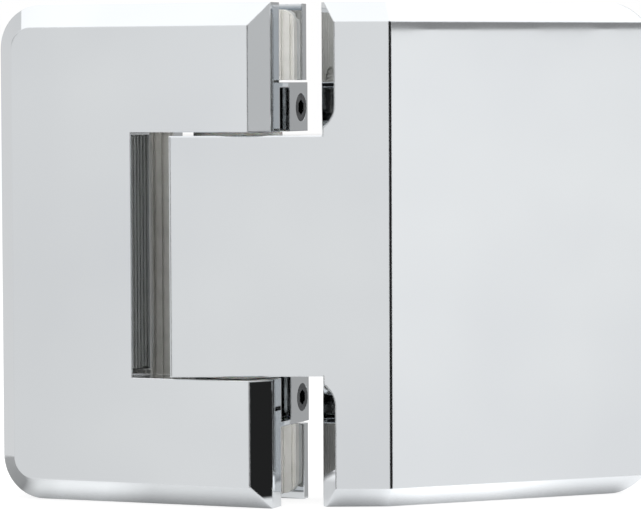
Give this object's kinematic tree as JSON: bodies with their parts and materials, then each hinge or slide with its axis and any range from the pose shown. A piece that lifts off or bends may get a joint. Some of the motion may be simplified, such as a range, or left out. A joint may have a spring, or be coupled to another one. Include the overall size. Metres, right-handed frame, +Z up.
{
  "type": "glass door hinge",
  "caption": "Bevelled chrome glass-to-glass shower door hinge, a notched door leaf turning on a tongue of a bent fixed leaf",
  "frame": {"origin": "on the standing surface, under the middle of the overall box", "axes": "+Z up along the pivot pin, +X along the fixed strip from the door leaf to the fixed leaf, +Y from the covers to the clamping plates"},
  "size_m": [0.118, 0.0418, 0.09],
  "materials": {
    "polished_chrome": "mirror-polished chrome plate on brass",
    "bright_steel": "turned and ground stainless steel",
    "dark_steel": "blackened alloy steel",
    "clear_gasket": "frosted clear moulded PVC",
    "white_acetal": "turned white acetal"
  },
  "bodies": {
    "fixed_leaf": {"knuckle_plate": "polished_chrome", "fixed_rear_plate": "polished_chrome", "fixed_front_gasket": "clear_gasket", "fixed_rear_gasket": "clear_gasket", "fixed_clamp_screws": "bright_steel", "fixed_screw_sleeves": "white_acetal", "upper_bush": "white_acetal", "lower_bush": "white_acetal", "upper_thrust_washer": "white_acetal", "lower_thrust_washer": "white_acetal", "upper_spring": "bright_steel", "lower_spring": "bright_steel", "upper_end_plug": "bright_steel", "lower_end_plug": "bright_steel"},
    "door_leaf": {"door_front_plate": "polished_chrome", "door_rear_plate": "polished_chrome", "door_front_gasket": "clear_gasket", "door_rear_gasket": "clear_gasket", "door_clamp_screws": "bright_steel", "door_screw_sleeves": "white_acetal", "pivot_pin": "bright_steel", "upper_set_screw": "dark_steel", "lower_set_screw": "dark_steel"},
    "upper_plunger_body": {"upper_plunger": "bright_steel"},
    "lower_plunger_body": {"lower_plunger": "bright_steel"}
  },
  "joints": [
    {"name": "door_swing", "type": "hinge", "parent": "fixed_leaf", "child": "door_leaf", "pos_m": [-0.01563, -0.00879, 0.045], "axis": [0, 0, 1], "range_deg": [-90, 90]},
    {"name": "upper_plunger_travel", "type": "slide", "parent": "fixed_leaf", "child": "upper_plunger_body", "axis": [1, 0, 0], "range_m": [0, 0.0008], "stiffness_N_per_m": 3000, "deforming": ["upper_spring"]},
    {"name": "lower_plunger_travel", "type": "slide", "parent": "fixed_leaf", "child": "lower_plunger_body", "axis": [1, 0, 0], "range_m": [0, 0.0008], "stiffness_N_per_m": 3000, "deforming": ["lower_spring"]}
  ],
  "couplings": [
    {"joint": "lower_plunger_travel", "follows": "upper_plunger_travel", "ratio": 1}
  ]
}
